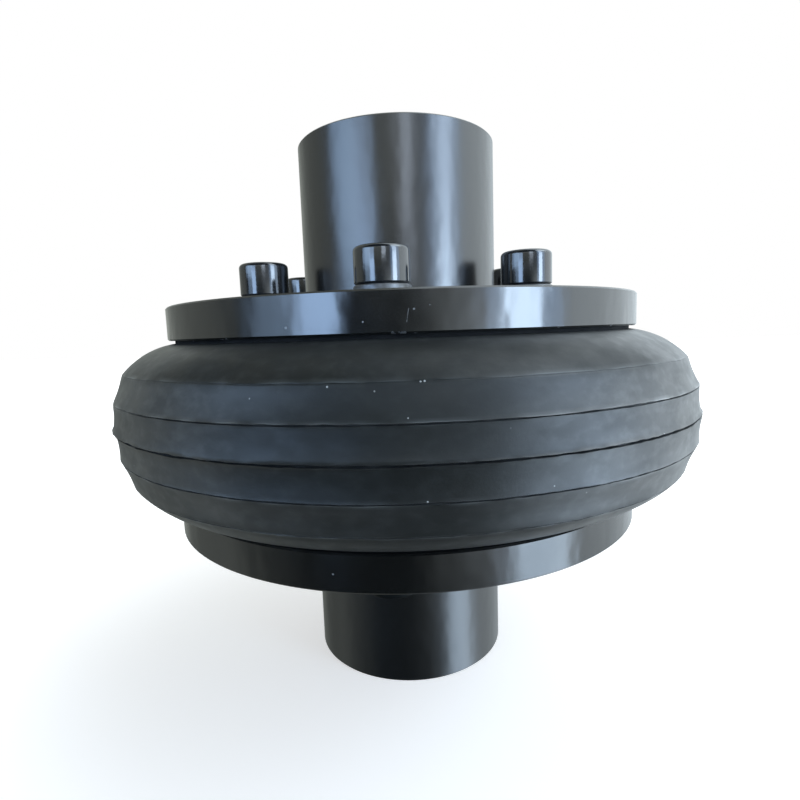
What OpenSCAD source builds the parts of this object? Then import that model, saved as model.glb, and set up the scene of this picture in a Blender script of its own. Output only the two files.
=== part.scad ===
// Tyre coupling: two flanged hubs joined by a hollow rubber tyre.
// The shaft axis is Z, and the origin is the middle of the tyre.

/* [Hubs] */
// Diameter of the boss
boss_d = 77.5; // [70:0.5:84]
// Length of the boss beyond the outer face of the flange
boss_len = 61.5; // [40:0.5:90]
// Diameter of the flange
flange_d = 181; // [172:0.5:190]
// Thickness of the flange
flange_t = 11.5; // [8:0.5:16]
// Diameter of the spigot that centres the tyre
spigot_d = 80; // [70:0.5:84]
// Length of the spigot beyond the inner face of the flange
spigot_len = 11; // [4:0.5:13]
// Fillet between the boss and the flange
boss_fillet_r = 3; // [1:0.5:4]
// Chamfer on the outer edges of the boss, flange and spigot
edge_chamfer = 0.5; // [0.3:0.1:2]
// Diameter of the shaft bore
bore_d = 45; // [35:0.5:50]
// Chamfer at both mouths of the bore
bore_chamfer = 1.5; // [0.5:0.1:2.5]
// Width of the keyway
key_w = 14; // [8:0.5:18]
// Depth of the keyway beyond the bore wall
key_depth = 3.8; // [2:0.1:5]

/* [Tyre] */
// Diameter over the middle ridge
tyre_d = 221.5; // [214:0.5:240]
// Width between the two flanges
tyre_w = 58.5; // [54:0.5:70]
// Radius of the arc that carries the tips of the ridges
crown_r = 38; // [30:0.5:60]
// Distance between neighbouring ridges, along the axis
ridge_pitch = 9.25; // [7:0.25:10]
// Ridges on each side of the middle one
side_ridges = 2; // [1:1:2]
// Height of a ridge above its roots
ridge_h = 0.6; // [0.3:0.1:1.6]
// Width of a ridge at its roots
ridge_w = 1.4; // [1:0.1:2.6]
// Width of the flat tip of a ridge
ridge_tip_w = 0.4; // [0.2:0.1:0.8]
// Radius of the hollow bands between the ridges
band_r = 60; // [20:1:120]
// Radius of the shoulder between the last ridge and the bead
shoulder_r = 28; // [13:0.5:60]
// How far the bead's collar stands inside the rim of the flange
collar_inset = 2.4; // [0.5:0.1:5]
// Height of the collar that shows beside the flange
collar_h = 1; // [0.6:0.1:2.5]
// Rubber thickness at the crown, under the middle ridge
crown_t = 14; // [10:0.5:18]
// Rubber thickness between the flange and the insert ring
bead_t = 10; // [7:0.5:12]

/* [Insert rings and nuts] */
// Outer diameter of an insert ring
ring_d = 152; // [140:0.5:158]
// Thickness of an insert ring
ring_t = 5; // [3:0.5:6]
// Width of a weld nut across its flats
nut_flats = 19; // [17:0.5:20]
// Height of a weld nut
nut_h = 10; // [7:0.5:11]
// Chamfer on the corners of a weld nut
nut_chamfer = 1.2; // [0.5:0.1:2]

/* [Screws and washers] */
// Screws in each flange
screw_count = 6; // [4:1:8]
// Diameter of the circle of screws
screw_circle_d = 111; // [108:0.5:116]
// Diameter of the screw shank
screw_d = 12; // [10:0.5:13]
// Length of the shank under the head
screw_len = 40; // [37:0.5:42]
// Diameter of the screw head
head_d = 17.8; // [16:0.1:19]
// Height of the screw head
head_h = 12; // [9:0.5:14]
// Radius of the round edge on top of the head
head_round_r = 1.6; // [0.6:0.1:2.4]
// Chamfer under the head and at the tip of the shank
screw_chamfer = 0.8; // [0.3:0.1:1.2]
// Width of the hexagon socket across its flats
socket_flats = 10; // [8:0.5:11]
// Depth of the hexagon socket
socket_depth = 6; // [4:0.5:8]
// Thickness of a spring washer
washer_t = 3.6; // [2:0.1:4]
// Radial width of a spring washer
washer_w = 3.1; // [2.4:0.1:3.4]
// Width of the slit in a spring washer
slit_w = 1.2; // [0.6:0.1:2]
// Slant of that slit from the axis, in degrees
slit_slant = 25; // [10:1:40]
// Turn of that slit from the side that faces away from the shaft, in degrees
slit_turn = 115; // [0:5:355]

/* [Clearances] */
// Gap round the spigot, in the bead and the insert ring
spigot_clear = 0.15; // [0.05:0.05:0.3]
// Gap round a screw in its hole in the flange and the insert ring
hole_clear = 0.75; // [0.4:0.05:1]
// Gap round a screw in the rubber bead
bead_hole_clear = 1.25; // [0.8:0.05:2]
// Gap round a screw in its nut and washer
thread_clear = 0.1; // [0.05:0.05:0.2]

/* [Hidden] */

$fn = 96;
past = 1; // how far a cut runs past the face that it opens
arc_steps = 12;
first_screw_angle = -90;

hub_black = [0.09, 0.09, 0.10];
screw_black = [0.06, 0.06, 0.07];
rubber_grey = [0.17, 0.17, 0.18];
bare_steel = [0.50, 0.50, 0.52];

// Levels above the middle of the tyre
flange_z = tyre_w / 2;
flange_top_z = flange_z + flange_t;
boss_top_z = flange_top_z + boss_len;
spigot_z = flange_z - spigot_len;
ring_top_z = flange_z - bead_t;
ring_z = ring_top_z - ring_t;
head_z = flange_top_z + washer_t;

// Radii that follow from the sizes above
bead_bore_r = spigot_d / 2 + spigot_clear;
collar_r = flange_d / 2 - collar_inset;
cavity_r = ring_z;
cavity_centre_r = tyre_d / 2 - crown_t - cavity_r;
washer_bore_r = screw_d / 2 + thread_clear;

function unit(v) = v / norm(v);

// Points from p to q along a circle of radius r.
// The arc bulges to the right of the way from p to q, or to the left where r is negative.
function arc_between(p, q, r, steps) =
    let (
        d = q - p,
        left = unit([-d.y, d.x]),
        centre = (p + q) / 2 + left * sign(r) * sqrt(r * r - d * d / 4),
        from = p - centre,
        to = q - centre,
        start = atan2(from.y, from.x),
        turn = atan2(from.x * to.y - from.y * to.x, from * to)
    )
    [
        for (i = [0 : steps])
            let (angle = start + turn * i / steps)
            centre + abs(r) * [cos(angle), sin(angle)]
    ];

// Place on the crown at height z, as [radius, height]
function crown(z) = [tyre_d / 2 - crown_r + sqrt(crown_r * crown_r - z * z), z];

// Root of the ridge number k, on its upper (side 1) or lower (side -1) flank
function ridge_root(k, side) = crown(k * ridge_pitch + side * ridge_w / 2) - [ridge_h, 0];

// Corner of the tip of the ridge number k
function ridge_tip(k, side) = crown(k * ridge_pitch + side * ridge_tip_w / 2);

function flip(points) = [for (i = [len(points) - 1 : -1 : 0]) [points[i].x, -points[i].y]];

// Section of the tyre's outside above its middle, from the bead's bore to the middle ridge
function upper_outside() =
    let (collar_edge = [collar_r, flange_z - collar_h])
    concat(
        [[bead_bore_r, flange_z], [collar_r, flange_z]],
        arc_between(collar_edge, ridge_root(side_ridges, 1), -shoulder_r, arc_steps),
        [
            for (k = [side_ridges : -1 : 1])
                each concat(
                    [ridge_tip(k, 1), ridge_tip(k, -1)],
                    arc_between(ridge_root(k, -1), ridge_root(k - 1, 1), band_r, arc_steps / 2)
                )
        ],
        [ridge_tip(0, 1)]
    );

// Section of the tyre's inside above its middle, from the crown to the seat of the insert ring
function upper_inside() =
    concat(
        arc_between([cavity_centre_r + cavity_r, 0], [cavity_centre_r, cavity_r], cavity_r, arc_steps),
        [[ring_d / 2, ring_z], [ring_d / 2, ring_top_z], [bead_bore_r, ring_top_z]]
    );

module on_screw_circle() {
    for (i = [0 : screw_count - 1])
        rotate([0, 0, first_screw_angle + i * 360 / screw_count])
            translate([screw_circle_d / 2, 0, 0])
                children();
}

module screw_holes(clear, low_z, high_z) {
    on_screw_circle()
        translate([0, 0, low_z])
            cylinder(h = high_z - low_z, r = screw_d / 2 + clear);
}

module turned_hub() {
    boss_r = boss_d / 2;
    flange_r = flange_d / 2;
    spigot_r = spigot_d / 2;
    bore_r = bore_d / 2;
    fillet_foot = [boss_r + boss_fillet_r, flange_top_z];
    fillet_head = [boss_r, flange_top_z + boss_fillet_r];
    rotate_extrude()
        polygon(concat(
            [
                [bore_r, spigot_z + bore_chamfer],
                [bore_r + bore_chamfer, spigot_z],
                [spigot_r - edge_chamfer, spigot_z],
                [spigot_r, spigot_z + edge_chamfer],
                [spigot_r, flange_z],
                [flange_r - edge_chamfer, flange_z],
                [flange_r, flange_z + edge_chamfer],
                [flange_r, flange_top_z - edge_chamfer],
                [flange_r - edge_chamfer, flange_top_z]
            ],
            arc_between(fillet_foot, fillet_head, -boss_fillet_r, arc_steps / 2),
            [
                [boss_r, boss_top_z - edge_chamfer],
                [boss_r - edge_chamfer, boss_top_z],
                [bore_r + bore_chamfer, boss_top_z],
                [bore_r, boss_top_z - bore_chamfer]
            ]
        ));
}

module keyway() {
    translate([0, -key_w / 2, spigot_z - past])
        cube([bore_d / 2 + key_depth, key_w, boss_top_z - spigot_z + 2 * past]);
}

module hub() {
    difference() {
        turned_hub();
        keyway();
        screw_holes(hole_clear, flange_z - past, flange_top_z + past);
    }
}

module insert_ring() {
    difference() {
        translate([0, 0, ring_z])
            cylinder(h = ring_t, d = ring_d);
        translate([0, 0, ring_z - past])
            cylinder(h = ring_t + 2 * past, r = bead_bore_r);
        screw_holes(hole_clear, ring_z - past, ring_top_z + past);
    }
}

module weld_nut() {
    corner_r = nut_flats / 2 / cos(30);
    difference() {
        intersection() {
            cylinder(h = nut_h, r = corner_r, $fn = 6);
            rotate_extrude()
                polygon([
                    [0, 0],
                    [nut_flats / 2 - nut_chamfer / 4, 0],
                    [corner_r + past, nut_chamfer],
                    [corner_r + past, nut_h],
                    [0, nut_h]
                ]);
        }
        translate([0, 0, -past])
            cylinder(h = nut_h + 2 * past, r = screw_d / 2 + thread_clear);
    }
}

module weld_nuts() {
    on_screw_circle()
        translate([0, 0, ring_z - nut_h])
            weld_nut();
}

module socket_screw() {
    head_r = head_d / 2;
    shank_r = screw_d / 2;
    side_end = [head_r, head_h - head_round_r];
    top_start = [head_r - head_round_r, head_h];
    difference() {
        rotate_extrude()
            polygon(concat(
                [
                    [0, -screw_len],
                    [shank_r - screw_chamfer, -screw_len],
                    [shank_r, screw_chamfer - screw_len],
                    [shank_r, 0],
                    [head_r - screw_chamfer, 0],
                    [head_r, screw_chamfer]
                ],
                arc_between(side_end, top_start, head_round_r, arc_steps / 2),
                [[0, head_h]]
            ));
        translate([0, 0, head_h - socket_depth])
            cylinder(h = socket_depth + past, r = socket_flats / 2 / cos(30), $fn = 6);
    }
}

module socket_screws() {
    on_screw_circle()
        translate([0, 0, head_z])
            socket_screw();
}

module spring_washer() {
    outer_r = washer_bore_r + washer_w;
    difference() {
        cylinder(h = washer_t, r = outer_r);
        translate([0, 0, -past])
            cylinder(h = washer_t + 2 * past, r = washer_bore_r);
        translate([washer_bore_r + washer_w / 2, 0, washer_t / 2])
            rotate([slit_slant, 0, 0])
                cube([washer_w + 2 * past, slit_w, 2 * washer_t], center = true);
    }
}

module spring_washers() {
    on_screw_circle()
        translate([0, 0, flange_top_z])
            rotate([0, 0, slit_turn])
                spring_washer();
}

module lower_side() {
    mirror([0, 0, 1])
        children();
}

module upper_hub() {
    color(hub_black) hub();
}

module lower_hub() {
    color(hub_black) lower_side() hub();
}

module tyre() {
    section = concat(upper_outside(), flip(upper_outside()), flip(upper_inside()), upper_inside());
    color(rubber_grey)
        difference() {
            rotate_extrude()
                polygon(section);
            screw_holes(bead_hole_clear, ring_top_z - past, flange_z + past);
            lower_side() screw_holes(bead_hole_clear, ring_top_z - past, flange_z + past);
        }
}

module upper_insert_ring() {
    color(bare_steel) insert_ring();
}

module lower_insert_ring() {
    color(bare_steel) lower_side() insert_ring();
}

module upper_weld_nuts() {
    color(bare_steel) weld_nuts();
}

module lower_weld_nuts() {
    color(bare_steel) lower_side() weld_nuts();
}

module upper_screws() {
    color(screw_black) socket_screws();
}

module lower_screws() {
    color(screw_black) lower_side() socket_screws();
}

module upper_spring_washers() {
    color(screw_black) spring_washers();
}

module lower_spring_washers() {
    color(screw_black) lower_side() spring_washers();
}

upper_hub();
lower_hub();
tyre();
upper_insert_ring();
lower_insert_ring();
upper_weld_nuts();
lower_weld_nuts();
upper_screws();
lower_screws();
upper_spring_washers();
lower_spring_washers();
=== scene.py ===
# %% [markdown]
# # A tyre coupling on white
# A tyre coupling joins two shafts. Each shaft end is keyed into a flanged hub, and a hollow rubber tyre is screwed
# between the two flanges, so that the shafts may sit a little out of line. The CAD model holds the true sizes and is
# loaded here as a fixed frame. This lesson gives it the skin of the real thing: moulded rubber with its mould lines,
# blackened steel with a satin shine, and the light of two tall windows.

import bmesh
import bpy
import numpy as np
from mathutils import Matrix, Vector


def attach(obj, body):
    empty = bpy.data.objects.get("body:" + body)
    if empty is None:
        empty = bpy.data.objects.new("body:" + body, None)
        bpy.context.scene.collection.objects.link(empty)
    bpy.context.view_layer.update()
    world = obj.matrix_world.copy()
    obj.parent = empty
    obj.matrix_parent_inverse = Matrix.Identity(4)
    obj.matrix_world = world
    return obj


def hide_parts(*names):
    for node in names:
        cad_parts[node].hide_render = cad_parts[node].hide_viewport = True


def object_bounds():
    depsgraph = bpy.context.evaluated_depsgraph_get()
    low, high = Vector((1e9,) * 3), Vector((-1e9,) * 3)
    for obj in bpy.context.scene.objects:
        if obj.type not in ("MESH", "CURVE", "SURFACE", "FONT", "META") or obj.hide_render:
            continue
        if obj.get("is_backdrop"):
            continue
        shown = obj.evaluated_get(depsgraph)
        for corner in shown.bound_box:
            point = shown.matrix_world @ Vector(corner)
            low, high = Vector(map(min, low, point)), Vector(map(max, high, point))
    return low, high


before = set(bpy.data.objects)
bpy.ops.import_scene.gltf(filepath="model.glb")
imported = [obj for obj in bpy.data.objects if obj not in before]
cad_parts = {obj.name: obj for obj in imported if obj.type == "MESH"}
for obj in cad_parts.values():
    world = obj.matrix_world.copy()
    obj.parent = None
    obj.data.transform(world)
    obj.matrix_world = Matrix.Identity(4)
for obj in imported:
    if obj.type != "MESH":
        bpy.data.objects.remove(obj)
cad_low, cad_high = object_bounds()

MM = 0.001
scene = bpy.context.scene
scene.view_settings.view_transform = "Standard"
print("CAD nodes:", ", ".join(sorted(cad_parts)))
print("CAD box in mm:", np.round((np.array(cad_high) - np.array(cad_low)) / MM, 2))

# %% [markdown]
# ## The camera
# The photograph was taken from very near, about one tyre's width away, so the far rims look much smaller than the near
# ones. A camera could be placed by eye, but here its place and focal length were solved from the ellipses of the hub
# ends, the flanges and the ridges, with the coupling held symmetric about its middle. The camera leans a little, so
# its axes are built up one after the other: pan, pitch, then roll.

# %% Camera
IMAGE_SIDE = 800  # pixels
FOCAL = 532.3  # pixels
SENSOR = 36.0  # mm
CLIP_START = 10  # mm, nearer than any piece
CAMERA_REACH = 226.1  # mm from the shaft axis
CAMERA_RISE = 29.7  # mm above the middle of the tyre
CAMERA_TURN = np.radians(5.64)  # round the axis, from the front screw towards +X
PITCH, ROLL, PAN = 0.1272, 0.0344, -0.0068  # radians: looking down, leaning, looking aside


def turned(angle):
    """Rotation about Z by an angle, as a 3 by 3 matrix."""
    return np.array([[np.cos(angle), -np.sin(angle), 0], [np.sin(angle), np.cos(angle), 0], [0, 0, 1]])


ahead = np.array([np.sin(PAN) * np.cos(PITCH), np.cos(PAN) * np.cos(PITCH), -np.sin(PITCH)])
level = np.array([np.cos(PAN), -np.sin(PAN), 0])
down = np.cross(ahead, level)
right = np.cos(ROLL) * level + np.sin(ROLL) * down
up = np.sin(ROLL) * level - np.cos(ROLL) * down
pose = np.eye(4)
pose[:3, :3] = turned(CAMERA_TURN) @ np.stack([right, up, -ahead], axis=1)
pose[:3, 3] = turned(CAMERA_TURN) @ np.array([0, -CAMERA_REACH, CAMERA_RISE]) * MM

camera = bpy.data.objects.new("camera", bpy.data.cameras.new("camera"))
camera.data.sensor_width = SENSOR
camera.data.lens = FOCAL / IMAGE_SIDE * SENSOR
camera.data.clip_start = CLIP_START * MM
camera.matrix_world = Matrix(pose.tolist())
scene.collection.objects.link(camera)
scene.camera = camera
print("camera at", np.round(pose[:3, 3] / MM, 1), "mm, lens", round(camera.data.lens, 2), "mm")

# %% [markdown]
# ## Writing shader maths as sums
# A shader is a graph of small nodes, and a graph is hard to read as code. This class wraps one output socket, so that
# `1 - mask * 0.5` adds the Math nodes it needs. Every other node comes from its `node` method, which sets the node's
# settings first, because they can change which sockets it has, and then fills its sockets.

# %% The socket class


class Signal:
    """One output socket of a node tree, for use in sums."""

    def __init__(self, socket):
        self.socket = socket
        self.tree = socket.id_data

    def node(self, kind, settings=None, inputs=None, output=0):
        """Adds a node of a kind, with its settings and then its sockets, and gives one of its outputs."""
        made = self.tree.nodes.new(kind)
        for name, value in (settings or {}).items():
            setattr(made, name, value)
        for key, value in (inputs or {}).items():
            if isinstance(value, Signal):
                self.tree.links.new(value.socket, made.inputs[key])
            else:
                made.inputs[key].default_value = value
        return Signal(made.outputs[output])

    def maths(self, operation, *values):
        """A Math node on these values, in this order."""
        return self.node("ShaderNodeMath", {"operation": operation}, dict(enumerate(values)))

    def __add__(self, other):
        return self.maths("ADD", self, other)

    def __sub__(self, other):
        return self.maths("SUBTRACT", self, other)

    def __rsub__(self, other):
        return self.maths("SUBTRACT", other, self)

    def __mul__(self, other):
        return self.maths("MULTIPLY", self, other)

    def __truediv__(self, other):
        return self.maths("DIVIDE", self, other)

    def __rtruediv__(self, other):
        return self.maths("DIVIDE", other, self)

    def __pow__(self, other):
        return self.maths("POWER", self, other)

    def __abs__(self):
        return self.maths("ABSOLUTE", self)

    __radd__ = __add__
    __rmul__ = __mul__

    def rise(self, low, high):
        """Smooth step: 0 up to low, 1 from high on."""
        values = {0: self, 1: low, 2: high, 3: 0.0, 4: 1.0}
        return self.node("ShaderNodeMapRange", {"interpolation_type": "SMOOTHSTEP"}, values)

    def blend(self, first, second):
        """Colour that goes from the first to the second as this value goes from 0 to 1."""
        return self.node("ShaderNodeMix", {"data_type": "RGBA"}, {0: self, 6: first, 7: second}, 2)

    def parts(self):
        """The three numbers of a vector."""
        return [Signal(out) for out in self.node("ShaderNodeSeparateXYZ", inputs={0: self}).socket.node.outputs]

    def feed(self, socket):
        """Links this value to a shader's socket."""
        self.tree.links.new(self.socket, socket)


def new_finish(name, constants):
    """A material with one Principled shader. Gives the material, the shader and Object coordinates."""
    material = bpy.data.materials.new(name)
    material.use_nodes = True
    shader = material.node_tree.nodes["Principled BSDF"]
    for socket, value in constants.items():
        shader.inputs[socket].default_value = value
    place = Signal(material.node_tree.nodes.new("ShaderNodeTexCoord").outputs["Object"])
    return material, shader, place


def noise(place, scale, detail=3.0, stretch=(1, 1, 1)):
    """Smooth noise from 0 to 1 with its patches 1 / scale metres wide, drawn out along an axis by a small stretch."""
    drawn = place.node("ShaderNodeVectorMath", {"operation": "MULTIPLY"}, {0: place, 1: stretch})
    return place.node("ShaderNodeTexNoise", inputs={"Vector": drawn, "Scale": scale, "Detail": detail}, output="Fac")


print("socket class ready, with", len([n for n in vars(Signal) if n.startswith("__r")]), "reflected forms")

# %% [markdown]
# ## Floor and background
# The product stands on a plain pale floor in front of white. A white world would wash out the black steel, because
# every glossy face mirrors what stands around it. So the world is white only for the camera, and a dim room for
# everything else. The floor adds a glow of its own for the camera, less of it under the coupling, which lifts it to
# white and leaves the soft shadow. Glossy faces don't see the floor, because the room stands for it too.

# %% Floor
FLOOR_Z = cad_low.z
FLOOR_HALF = 4.0  # metres
FLOOR_PALE = (0.78, 0.78, 0.78, 1)
FLOOR_GLOW = (1.0, 0.97, 0.93, 1.0)
GLOW_NEAR, GLOW_FAR = 0.55, 1.0  # strength of the glow under the coupling and away from it
NEAR_R, FAR_R = 0.13, 0.35  # metres

corners = np.array([(-1, -1, 0), (1, -1, 0), (1, 1, 0), (-1, 1, 0)]) * FLOOR_HALF
corners[:, 2] = FLOOR_Z
floor_mesh = bpy.data.meshes.new("floor")
floor_mesh.from_pydata(corners.tolist(), [], [(0, 1, 2, 3)])
floor = bpy.data.objects.new("floor", floor_mesh)
scene.collection.objects.link(floor)
floor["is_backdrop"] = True
floor.visible_glossy = False

floor_finish, floor_shader, floor_place = new_finish("pale_floor", {"Base Color": FLOOR_PALE, "Roughness": 0.9})
floor_tree = floor_finish.node_tree
seen = Signal(floor_tree.nodes.new("ShaderNodeLightPath").outputs["Is Camera Ray"])
from_middle = floor_place.node("ShaderNodeVectorMath", {"operation": "LENGTH"}, {0: floor_place}, "Value")
glow = seen * (GLOW_NEAR + (GLOW_FAR - GLOW_NEAR) * from_middle.rise(NEAR_R, FAR_R))
lamp = seen.node("ShaderNodeEmission", inputs={"Color": FLOOR_GLOW, "Strength": glow})
lifted = seen.node("ShaderNodeAddShader", inputs={0: Signal(floor_shader.outputs[0]), 1: lamp})
lifted.feed(floor_tree.nodes["Material Output"].inputs["Surface"])
floor_mesh.materials.append(floor_finish)
print("floor at", round(FLOOR_Z / MM, 2), "mm")

# %% [markdown]
# ## The room
# Black steel and rubber mirror a whole room. A picture of one could be wrapped round the scene, but a few soft shapes
# are enough and need no file. Each shape is a product of smooth steps in two numbers of a direction: its bearing, which
# is nought towards the camera and grows to the camera's right, and how far it points upward. There are two walls, a
# haze above the camera, a bright corner to the right of it, and a faint light low on the left.

# %% Directions in the room
LEFT_TINT = (0.93, 1.0, 0.93, 1.0)
RIGHT_TINT = (0.84, 0.94, 1.0, 1.0)


def aside(azimuth):
    """Level direction at an azimuth in degrees from the camera's side, positive to its right."""
    angle = np.radians(azimuth) + CAMERA_TURN
    return np.array([np.sin(angle), -np.cos(angle), 0])


world = bpy.data.worlds.new("room")
scene.world = world
world.use_nodes = True
room = world.node_tree.nodes["Background"]
looking = Signal(world.node_tree.nodes.new("ShaderNodeTexCoord").outputs["Generated"])
to_right, to_front = [
    looking.node("ShaderNodeVectorMath", {"operation": "DOT_PRODUCT"}, {0: looking, 1: tuple(aside(turn))}, "Value")
    for turn in (90, 0)
]
bearing = to_right.maths("ARCTAN2", to_right, to_front)  # radians
leftward = 0 - bearing
upward = looking.parts()[2]  # sine of the elevation
bearing.rise(-0.1, 0.6).blend(LEFT_TINT, RIGHT_TINT).feed(room.inputs["Color"])
print("the camera's right is", np.round(aside(90), 3))

# %% Shapes in the room
WHITE = (1.0, 1.0, 1.0, 1.0)
ROOM_DARK, HAZE, CORNER, LOW_LEFT = 0.02, 0.55, 1.25, 0.11  # strengths


def between(value, start, full, fade, end):
    """Smooth hump: 0 up to start, 1 from full to fade, and 0 again from end on."""
    return value.rise(start, full) * (1 - value.rise(fade, end))


near_camera = 1 - abs(bearing).rise(0.5, 1.3)
haze = HAZE * near_camera * (upward.rise(0.04, 0.38) - upward.rise(0.38, 0.65))
over_floor = (0.2 + 0.8 * upward.rise(-0.95, -0.6)) * (0.55 + 0.45 * upward.rise(-0.55, 0.0))
right_wall = bearing.rise(0.85, 1.5) * (1.5 - 0.7 * bearing.rise(2.4, 3.14))
left_wall = leftward.rise(1.15, 1.6) * (0.3 + 0.4 * leftward.rise(2.0, 3.14))
bright_corner = CORNER * between(bearing, 0.0, 0.75, 0.8, 1.2) * between(upward, -0.65, -0.1, 0.06, 0.2)
low_left = LOW_LEFT * between(leftward, 0.7, 1.15, 1.7, 2.1) * (1 - upward.rise(-0.42, -0.2))
room_light = ROOM_DARK + haze + bright_corner + low_left + over_floor * (right_wall + left_wall)
room_light.feed(room.inputs["Strength"])
to_camera = Signal(world.node_tree.nodes.new("ShaderNodeLightPath").outputs["Is Camera Ray"])
backdrop = to_camera.node("ShaderNodeBackground", inputs={"Color": WHITE, "Strength": 1.0})
sky = to_camera.node("ShaderNodeMixShader", inputs={0: to_camera, 1: Signal(room.outputs[0]), 2: backdrop})
sky.feed(world.node_tree.nodes["World Output"].inputs["Surface"])
print(world.name, "has", len(world.node_tree.nodes), "nodes")

# %% [markdown]
# ## Two windows
# On black steel the light is seen more than the steel: each hub shows two bluish upright bands, which are the mirror
# images of two tall windows. A lamp's picture on a cylinder sits where the surface faces half way between the lamp and
# the eye, so the bands in the photograph give the directions of the windows, and their brightness divided by the share
# that the steel mirrors gives the strength. Area lamps are used because they have a shape, and a mirror shows it. A
# lamp is equally bright all over and a real window isn't, so each window is built of several: a bright lower part, a
# dim top, and the glow beside, above or below it. A door near the camera adds a patch of its own.

# %% Lamps
LAMP_REACH = 2.5  # metres
LAMPS = {  # azimuth from, to; elevation from, to, in degrees; radiance in red, green and blue
    "left_window": (-45, -27, -10, 13, (2.3, 3.4, 5.2)),
    "left_window_top": (-45, -27, 13, 26, (1.1, 1.6, 2.45)),
    "left_window_side": (-67, -45, -10, 26, (0.62, 0.9, 1.3)),
    "left_blind": (-77, -44, 10.5, 28, (1.1, 1.6, 2.35)),
    "right_window": (45.5, 63, -18, 14, (4.6, 5.8, 7.2)),
    "right_window_top": (45.5, 63, 14, 34, (2.5, 3.1, 3.9)),
    "right_curtain": (37, 75, -18, 34, (0.5, 0.8, 1.3)),
    "right_skylight": (45, 100, 34, 60, (2.2, 2.65, 3.1)),
    "right_window_foot": (47, 80, -46, -18, (2.05, 2.6, 3.2)),
    "front_door": (3, 19, 13.5, 34, (1.8, 2.1, 2.55)),
}

for name, (left, right_end, bottom, top, radiance) in LAMPS.items():
    low, high = LAMP_REACH * np.tan(np.radians([bottom, top]))
    data = bpy.data.lights.new(name, "AREA")
    data.shape = "RECTANGLE"
    data.size = 2 * LAMP_REACH * np.tan(np.radians(right_end - left) / 2)
    data.size_y = high - low
    data.color = np.array(radiance) / max(radiance)
    data.energy = max(radiance) * np.pi * data.size * data.size_y
    panel = bpy.data.objects.new(name, data)
    outwards = aside((left + right_end) / 2)
    panel.location = Vector(outwards * LAMP_REACH + np.array([0, 0, (low + high) / 2]))
    panel.rotation_euler = Vector(-outwards).to_track_quat("-Z", "Y").to_euler()
    panel.visible_camera = False
    scene.collection.objects.link(panel)
    print(name, round(data.size, 2), "by", round(data.size_y, 2), "m,", round(data.energy, 1), "W")

# %% [markdown]
# ## Knocks on the rims
# The rims have been knocked in the workshop, and each knock broke the black skin and left bare metal. They could be
# painted in a picture, but a picture needs a map of the surface. Here a knock is a small ball round a point of the
# rim, the long scratch is a thin upright slab, and chips follow the inner edge of the upper flange. Noise breaks them
# all up, so that none looks drawn.

# %% Hub marks
FLANGE_R = 90.5  # mm
FLANGE_IN, FLANGE_OUT = 29.25, 40.75  # mm, levels of the two faces of a flange
CHIP_DEPTH = 0.9  # mm, how far chips reach in from the inner edge of a flange
NICKS = [  # angle in degrees, height in mm, radius in mm: small knocks on the rims, seen as pale dots
    (-82.2, 35.3, 0.4),
    (-103.9, 31.8, 0.5),
    (-90.5, 32.5, 0.3),
    (-79.6, 36.2, 0.3),
    (-97.7, -35.2, 0.4),
]
SCRATCH_ANGLE = np.radians(-83.45)
SCRATCH_LOW, SCRATCH_HIGH, SCRATCH_LEAN = 32.0, 35.6, 0.6  # mm
SCRATCH_BARE, CHIP_BARE = 0.4, 0.35  # share of bare metal in them


def on_rim(angle, height):
    """Point on the rim of a flange, in metres."""
    return np.array([FLANGE_R * np.cos(angle), FLANGE_R * np.sin(angle), height]) * MM


def distance_from(place, point):
    """Distance from a fixed point."""
    return place.node("ShaderNodeVectorMath", {"operation": "DISTANCE"}, {0: place, 1: tuple(point)}, "Value")


hub_finish, hub_shader, hub_place = new_finish("hub_black", {"IOR": 2.05})
x, y, z = hub_place.parts()
radius = (x * x + y * y) ** 0.5

knocks = 0.0
for degrees, height, size in NICKS:
    near = distance_from(hub_place, on_rim(np.radians(degrees), height))
    knocks = knocks + (1 - near.rise(0.3 * size * MM, size * MM))

across = (-np.sin(SCRATCH_ANGLE), np.cos(SCRATCH_ANGLE), 0)
start = tuple(on_rim(SCRATCH_ANGLE, SCRATCH_LOW))
offset = hub_place.node("ShaderNodeVectorMath", {"operation": "SUBTRACT"}, {0: hub_place, 1: start})
sideways = offset.node("ShaderNodeVectorMath", {"operation": "DOT_PRODUCT"}, {0: offset, 1: across}, "Value")
up_it = (z - SCRATCH_LOW * MM) / ((SCRATCH_HIGH - SCRATCH_LOW) * MM)
line = 1 - abs(sideways - up_it * SCRATCH_LEAN * MM).rise(0.03 * MM, 0.15 * MM)
front_half = (0 - y).rise(50 * MM, 60 * MM)
scratch = line * between(up_it, -0.02, 0.05, 0.95, 1.02) * front_half * noise(hub_place, 900, 1).rise(0.3, 0.55)

near_edge = 1 - (abs(z) - FLANGE_IN * MM).rise(0.3 * CHIP_DEPTH * MM, CHIP_DEPTH * MM)
rim_edge = radius.rise((FLANGE_R - 0.7) * MM, (FLANGE_R - 0.4) * MM) * near_edge
chips = rim_edge * z.rise(0, MM) * noise(hub_place, 420, 3).rise(0.62, 0.7)
marks = knocks * noise(hub_place, 1500, 2).rise(0.35, 0.6) + scratch * SCRATCH_BARE + chips * CHIP_BARE
bare = marks.maths("MINIMUM", marks, 1.0)
print(len(NICKS), "knocks, a scratch and the chips take", len(hub_finish.node_tree.nodes), "nodes")

# %% [markdown]
# ## Blackened steel
# The hubs are turned from steel and blackened, which leaves a thin dark skin that shines like satin. It could be a
# black paint, but paint mirrors less: this skin has a high index of refraction, so the windows stay bright on it. The
# shine of the rims is uneven, because hands and oil have been on them, and cloudy patches change their roughness. The
# bosses are duller and more even, the lower one most of all. Broad low waves in the skin bend the mirrored bands, and
# fine turning marks run round the axis.

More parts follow.
